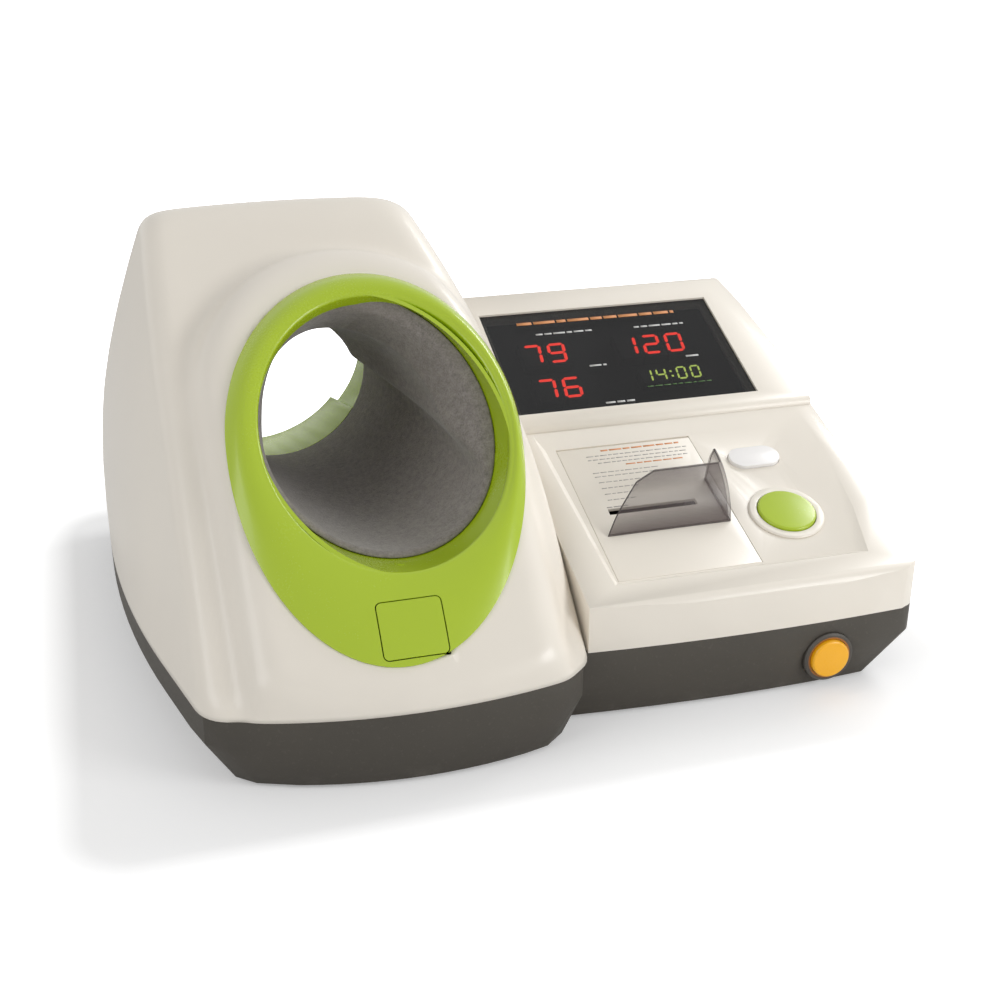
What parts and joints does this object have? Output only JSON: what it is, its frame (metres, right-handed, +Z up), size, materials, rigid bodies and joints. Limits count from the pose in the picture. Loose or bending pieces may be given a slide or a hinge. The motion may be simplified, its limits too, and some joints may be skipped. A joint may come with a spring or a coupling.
{
  "type": "arm-in blood pressure monitor",
  "caption": "Free-standing blood pressure monitor: an arm tunnel with a self-winding cuff in a sloped tower, beside a unit with a display, a receipt printer and push buttons.",
  "frame": {"origin": "middle of the footprint, on the table", "axes": "+X to the display side, +Y to the back, +Z up; the arm goes in along +Y"},
  "size_m": [0.5019, 0.413, 0.2809],
  "materials": {
    "shell": "satin off-white moulding",
    "base": "fine textured dark grey-brown",
    "lime": "gloss lime green",
    "cuff_fabric": "brushed grey nylon",
    "bladder": "matt rubber",
    "dark_plastic": "plain",
    "acetal": "plain",
    "steel": "plain",
    "board": "green laminate",
    "display_glass": "dark tinted",
    "smoked": "smoked clear",
    "big_led": "red lit digits",
    "clock_led": "yellow-green lit digits",
    "paper": "thermal paper",
    "card": "card",
    "rubber": "matt black",
    "button_white": "smooth",
    "amber": "gloss amber",
    "amber_rim": "gloss dark amber",
    "tube": "silicone"
  },
  "bodies": {
    "monitor": {"base_tray": "base", "feet": "rubber", "base_screws": "steel", "tower_housing": "shell", "front_ring": "lime", "rear_ring": "lime", "ring_screw_caps": "lime", "elbow_hinge_pin": "steel", "elbow_switch": "dark_plastic", "cuff": "cuff_fabric", "air_bladder": "bladder", "cuff_drum": "dark_plastic", "drum_cradles": "base", "winding_motor": "steel", "motor_bracket": "steel", "control_housing": "shell", "display_housing": "shell", "display_window": "display_glass", "display_board": "board", "big_digits": "big_led", "clock_digits": "clock_led", "door_hinge_pin": "steel", "paper_bay": "dark_plastic", "paper_spindle": "steel", "print_frame": "steel", "thermal_head": "dark_plastic", "feed_motor": "steel", "start_ring": "shell", "stop_collar": "amber_rim", "stop_switch": "dark_plastic", "key_board": "board", "key_switches": "dark_plastic", "main_board": "board", "board_chips": "dark_plastic", "pressure_sensor": "dark_plastic", "air_pump": "steel", "pump_cradle": "base", "bleed_valve": "acetal", "dump_valve": "dark_plastic", "air_tube": "tube", "power_supply": "steel", "ac_inlet": "dark_plastic", "power_switch": "dark_plastic"},
    "start_button": {"start_button": "lime"},
    "print_button": {"print_button": "button_white"},
    "stop_button": {"stop_button": "amber"},
    "elbow_plate": {"elbow_plate": "lime"},
    "printer_door": {"printer_door": "shell", "paper_hood": "smoked"},
    "power_rocker": {"power_rocker": "dark_plastic"},
    "paper_roll": {"paper_roll": "paper", "paper_core": "card"},
    "platen": {"platen_roller": "rubber", "platen_gear": "acetal"},
    "feed_pinion": {"feed_pinion": "acetal"},
    "winding_gear": {"winding_gear": "acetal"},
    "winding_pinion": {"winding_pinion": "acetal"}
  },
  "joints": [
    {"name": "start_press", "type": "slide", "parent": "monitor", "child": "start_button", "axis": [0, 0.3007, -0.9537], "range_m": [0, 0.002], "stiffness_N_per_m": 600},
    {"name": "print_press", "type": "slide", "parent": "monitor", "child": "print_button", "axis": [0, 0.3007, -0.9537], "range_m": [0, 0.002], "stiffness_N_per_m": 600},
    {"name": "stop_press", "type": "slide", "parent": "monitor", "child": "stop_button", "axis": [0, 1, 0], "range_m": [0, 0.002], "stiffness_N_per_m": 600},
    {"name": "elbow_press", "type": "hinge", "parent": "monitor", "child": "elbow_plate", "pos_m": [-0.0875, -0.16354, 0.09346], "axis": [1, 0, 0], "range_deg": [0, 3], "stiffness_Nm_per_rad": 0.4},
    {"name": "door_hinge", "type": "hinge", "parent": "monitor", "child": "printer_door", "pos_m": [0.0995, -0.02388, 0.11914], "axis": [-1, 0, 0], "range_deg": [0, 85]},
    {"name": "power_rock", "type": "hinge", "parent": "monitor", "child": "power_rocker", "pos_m": [0.141, 0.156, 0.0378], "axis": [0, 0, 1], "range_deg": [-8, 8]},
    {"name": "roll_spin", "type": "hinge", "parent": "monitor", "child": "paper_roll", "pos_m": [0.097, -0.11136, 0.06472], "axis": [1, 0, 0], "continuous": true},
    {"name": "platen_spin", "type": "hinge", "parent": "monitor", "child": "platen", "pos_m": [0.097, -0.08857, 0.08554], "axis": [1, 0, 0], "continuous": true},
    {"name": "feed_spin", "type": "hinge", "parent": "monitor", "child": "feed_pinion", "pos_m": [0.134, -0.08187, 0.07268], "axis": [1, 0, 0], "continuous": true},
    {"name": "winder_turn", "type": "hinge", "parent": "monitor", "child": "winding_gear", "pos_m": [-0.10537, 0.05375, 0.15578], "axis": [-0.1651, 0.9764, -0.1392], "range_deg": [0, 60]},
    {"name": "winder_pinion_turn", "type": "hinge", "parent": "monitor", "child": "winding_pinion", "pos_m": [-0.17699, 0.03114, 0.08212], "axis": [-0.1651, 0.9764, -0.1392], "range_deg": [-360, 0]}
  ],
  "couplings": [
    {"joint": "winder_pinion_turn", "follows": "winder_turn", "ratio": -6},
    {"joint": "feed_spin", "follows": "platen_spin", "ratio": -2}
  ]
}
